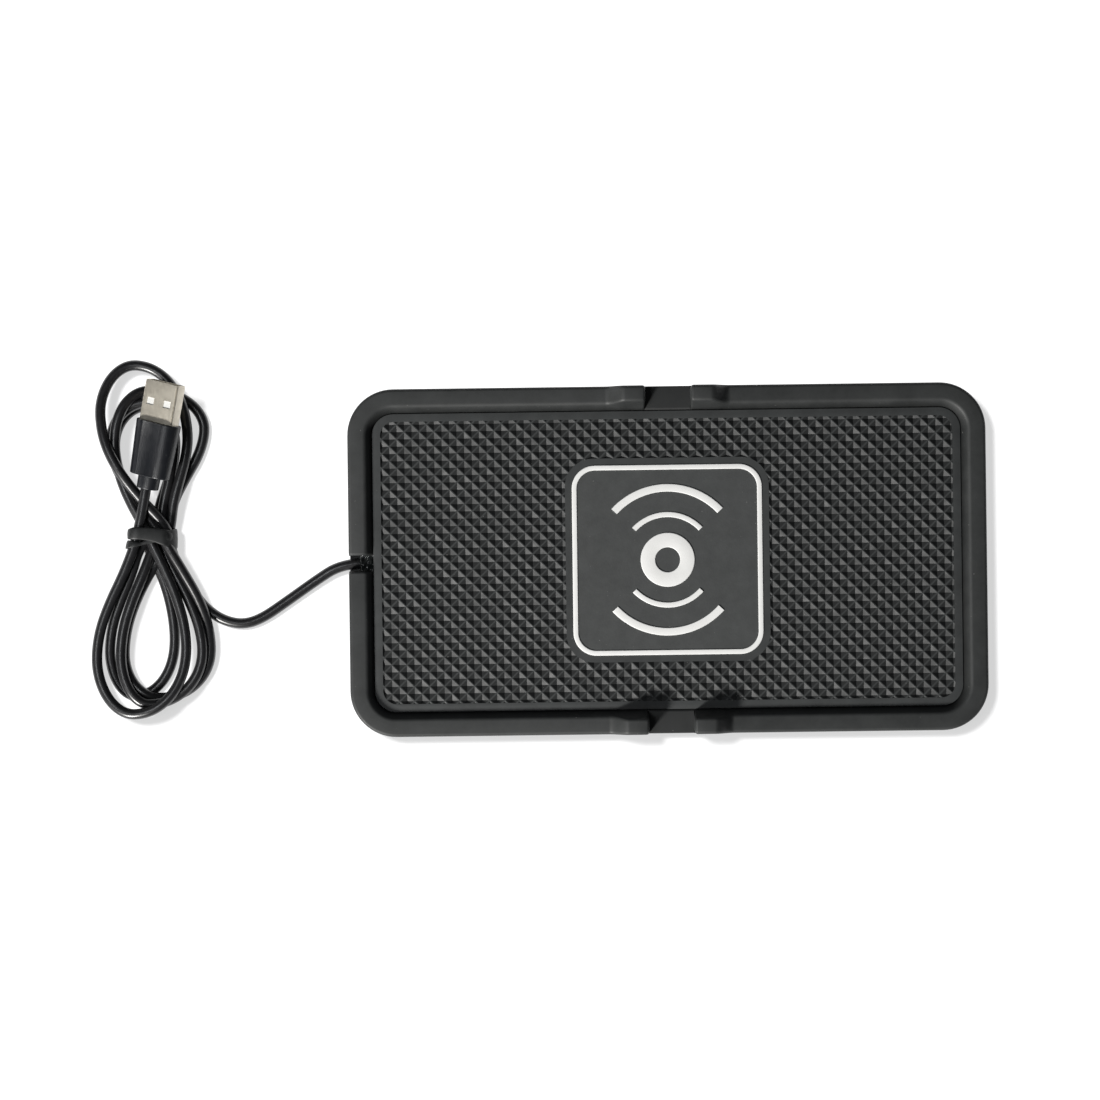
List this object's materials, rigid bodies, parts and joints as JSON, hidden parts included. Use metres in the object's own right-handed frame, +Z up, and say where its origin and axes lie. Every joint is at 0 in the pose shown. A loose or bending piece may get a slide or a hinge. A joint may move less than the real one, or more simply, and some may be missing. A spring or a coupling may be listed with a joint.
{
  "type": "wireless charging pad",
  "caption": "Flat rectangular silicone charging mat with raised rim, ramped stops that form two phone slots, textured insert, coil emblem, captive cable folded in a tied hank.",
  "frame": {"origin": "centre of the mat's underside", "axes": "+X along the mat's long side away from the cable, +Y along its short side, +Z up out of the charging face"},
  "size_m": [0.2806, 0.1199, 0.0189],
  "materials": {
    "black_silicone": "moulded silicone, satin",
    "insert_silicone": "diamond-textured silicone, satin",
    "plate_silicone": "smooth fine-grained silicone",
    "white_silicone": "white inlay, matte",
    "tacky_gel": "tacky gel sheet",
    "housing_plastic": "moulded ABS",
    "screw_steel": "zinc plated",
    "ferrite": "sintered ferrite sheet",
    "copper": "enamelled copper litz",
    "board_green": "solder-masked board",
    "chip_black": "moulded package",
    "ceramic": "ceramic",
    "sealant": "clear-black glossy sealant",
    "cord_jacket": "glossy PVC jacket",
    "core_insulation": "insulated cores",
    "band_rubber": "flat rubber band, matte",
    "plug_plastic": "moulded PVC, satin",
    "shell_metal": "nickel-plated sheet",
    "tongue_plastic": "tongue",
    "contact_gold": "gold flash"
  },
  "bodies": {
    "root": {"mat_tray": "black_silicone", "grip_sheet": "tacky_gel", "pad_insert": "insert_silicone", "emblem_frame": "white_silicone", "emblem_ring": "white_silicone", "emblem_inner_arcs": "white_silicone", "emblem_outer_arcs": "white_silicone", "emblem_plate": "plate_silicone", "module_screws": "screw_steel", "module_base": "housing_plastic", "module_cover": "housing_plastic", "ferrite_sheet": "ferrite", "transmit_coil": "copper", "coil_leads": "copper", "circuit_board": "board_green", "controller_chip": "chip_black", "bridge_transistors": "chip_black", "resonance_capacitors": "ceramic", "filter_inductor": "ferrite", "chip_resistors": "chip_black", "cord_inner_run": "cord_jacket", "cord_wires": "core_insulation", "glue_bead": "sealant", "cord_lead": "cord_jacket", "cord_tail": "cord_jacket", "cord_hank": "cord_jacket", "hank_tie": "band_rubber", "usb_overmould": "plug_plastic", "usb_shell": "shell_metal", "usb_tongue": "tongue_plastic", "usb_contacts": "contact_gold"}
  },
  "joints": []
}
